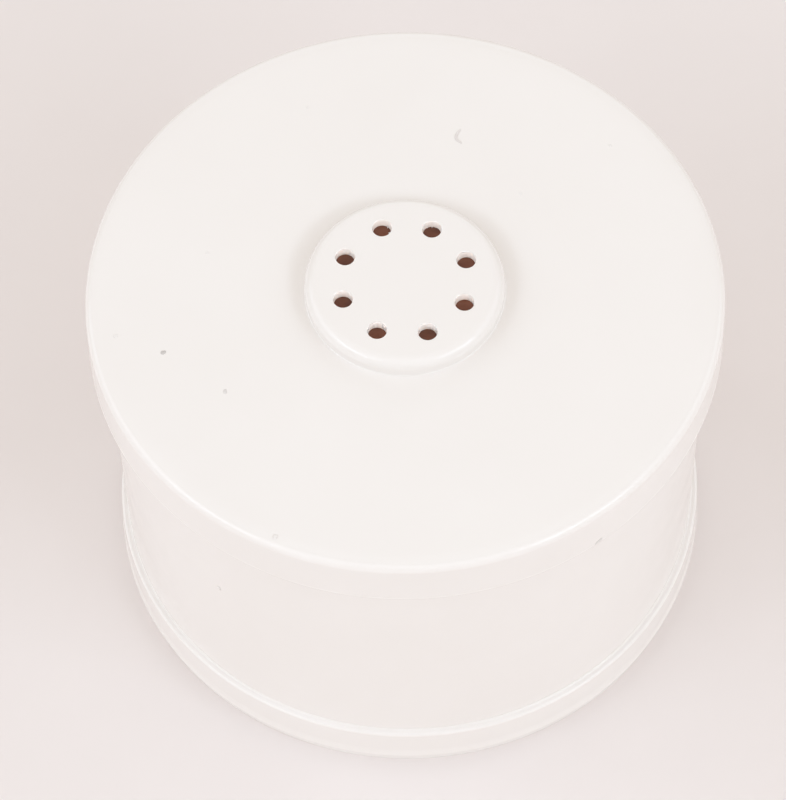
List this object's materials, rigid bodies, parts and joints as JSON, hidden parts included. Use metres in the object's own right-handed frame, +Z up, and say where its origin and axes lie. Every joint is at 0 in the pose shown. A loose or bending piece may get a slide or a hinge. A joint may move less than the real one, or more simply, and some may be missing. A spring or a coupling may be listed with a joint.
{
  "type": "limescale filter cartridge",
  "caption": "Round white drum-shaped water filter cartridge: a skirted cap with a raised perforated inlet boss, a drafted drum and a collared base around limescale-removing resin.",
  "frame": {"origin": "middle of the foot ring, on the surface that the cartridge stands on", "axes": "+Z up along the cartridge's axis towards the inlet boss, +Y away from the picture's camera"},
  "size_m": [0.064, 0.064, 0.045],
  "materials": {
    "white_plastic": "semi-gloss moulded surface",
    "brown_fleece": "matt needled fleece",
    "resin": "fine moist beads"
  },
  "bodies": {
    "root": {"inlet_cap": "white_plastic", "drum": "white_plastic", "base_cap": "white_plastic", "inlet_fleece": "brown_fleece", "outlet_fleece": "brown_fleece", "resin_bed": "resin"}
  },
  "joints": []
}
